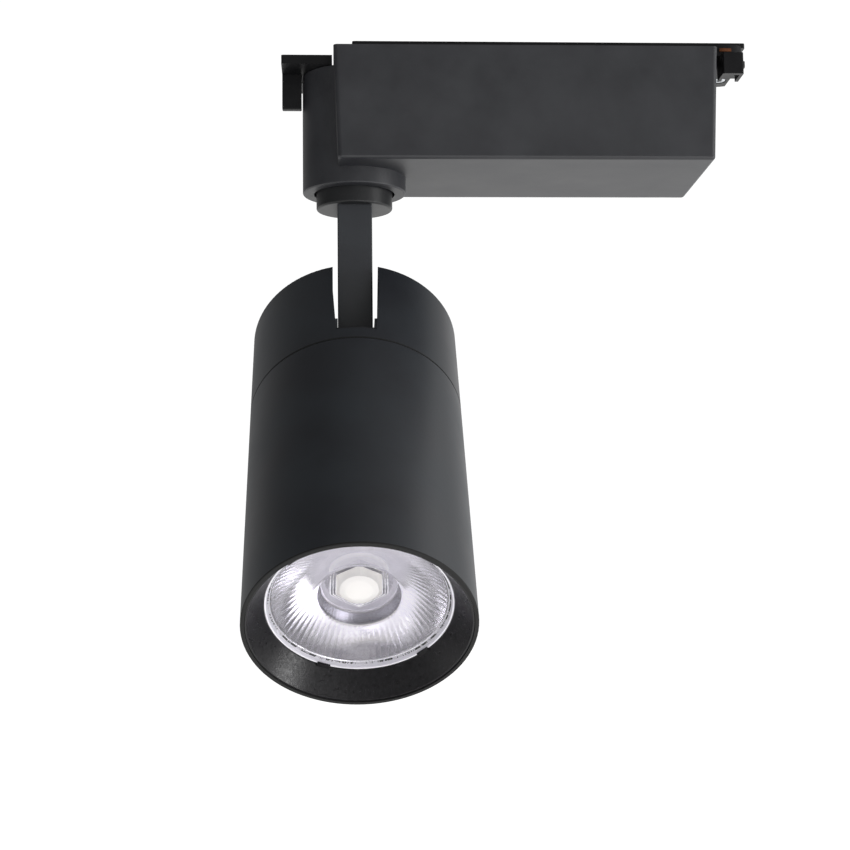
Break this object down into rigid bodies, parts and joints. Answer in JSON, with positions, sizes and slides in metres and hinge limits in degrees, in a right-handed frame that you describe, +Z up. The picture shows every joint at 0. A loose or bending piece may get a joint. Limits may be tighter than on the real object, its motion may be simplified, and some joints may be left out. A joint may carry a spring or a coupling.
{
  "type": "track spotlight",
  "caption": "Track spotlight: tubular lamp head with a lens, tilting on a flat arm that swivels under a driver box, with a track adapter, latch and contact lever on top.",
  "frame": {"origin": "on the swivel axis, in the plane of the driver box's top face that bears on the underside of the track", "axes": "+X along the track from the swivel towards the driver, +Z up into the track, and the head aims towards -Y and down at rest"},
  "size_m": [0.1835, 0.1505, 0.2401],
  "materials": {
    "black_polycarbonate": "fine matte moulded texture",
    "black_nylon": "satin moulded",
    "black_powder_coat": "fine matte powder coat",
    "black_baffle": "spark-eroded texture",
    "zinc_plated_steel": "bright zinc plate",
    "brass_nut": "turned",
    "copper_contact": "stamped",
    "black_anodised_aluminium": "turned, milled and black anodised",
    "clear_acrylic": "polished clear",
    "board_laminate": "green solder mask",
    "ferrite": "sintered",
    "coil_tape": "wound and taped",
    "capacitor_sleeve": "shrink sleeve",
    "terminal_plastic": "moulded",
    "silicone_pad": "soft",
    "led_ceramic": "white ceramic",
    "led_phosphor": "cast silicone with phosphor",
    "white_holder": "moulded"
  },
  "bodies": {
    "driver": {"driver_housing": "black_polycarbonate", "driver_lid": "black_polycarbonate", "lid_screws": "zinc_plated_steel", "driver_board": "board_laminate", "board_screws": "zinc_plated_steel", "transformer_core": "ferrite", "transformer_winding": "coil_tape", "capacitors": "capacitor_sleeve", "mains_choke": "coil_tape", "terminal_block": "terminal_plastic", "power_switch": "capacitor_sleeve", "adapter_body": "black_nylon", "adapter_screws": "zinc_plated_steel", "latch_plate": "black_nylon", "latch_plate_screws": "zinc_plated_steel"},
    "swivel": {"swivel_collar": "black_powder_coat", "arm": "black_powder_coat", "arm_screws": "zinc_plated_steel", "swivel_washer": "zinc_plated_steel", "swivel_stop": "zinc_plated_steel", "swivel_wave_washer": "zinc_plated_steel", "swivel_nut": "brass_nut"},
    "head": {"rear_cover": "black_powder_coat", "cover_screws": "zinc_plated_steel", "body_tube": "black_powder_coat", "heat_sink": "black_anodised_aluminium", "pivot_bracket": "zinc_plated_steel", "bracket_screws": "zinc_plated_steel", "tilt_bolt": "zinc_plated_steel", "tilt_washers": "zinc_plated_steel", "tilt_nut": "zinc_plated_steel", "thermal_pad": "silicone_pad", "led_board": "led_ceramic", "led_emitter": "led_phosphor", "led_holder": "white_holder", "led_holder_screws": "zinc_plated_steel", "lens": "clear_acrylic", "lens_holder": "black_baffle", "front_ring": "black_baffle"},
    "contact_lever": {"contact_lever": "black_nylon", "contact_head": "black_nylon", "contact_blades": "copper_contact", "lever_screw": "zinc_plated_steel"},
    "latch": {"latch": "black_nylon"}
  },
  "joints": [
    {"name": "swivel_turn", "type": "hinge", "parent": "driver", "child": "swivel", "pos_m": [0, 0, -0.05], "axis": [0, 0, 1], "range_deg": [-165, 165]},
    {"name": "head_tilt", "type": "hinge", "parent": "swivel", "child": "head", "pos_m": [0, 0, -0.1159], "axis": [1, 0, 0], "range_deg": [-47.5, 42.5]},
    {"name": "lever_turn", "type": "hinge", "parent": "driver", "child": "contact_lever", "pos_m": [0.1373, 0, 0], "axis": [0, 0, 1], "range_deg": [0, 90]},
    {"name": "latch_slide", "type": "slide", "parent": "driver", "child": "latch", "axis": [0, 0, -1], "range_m": [0, 0.0045]}
  ]
}
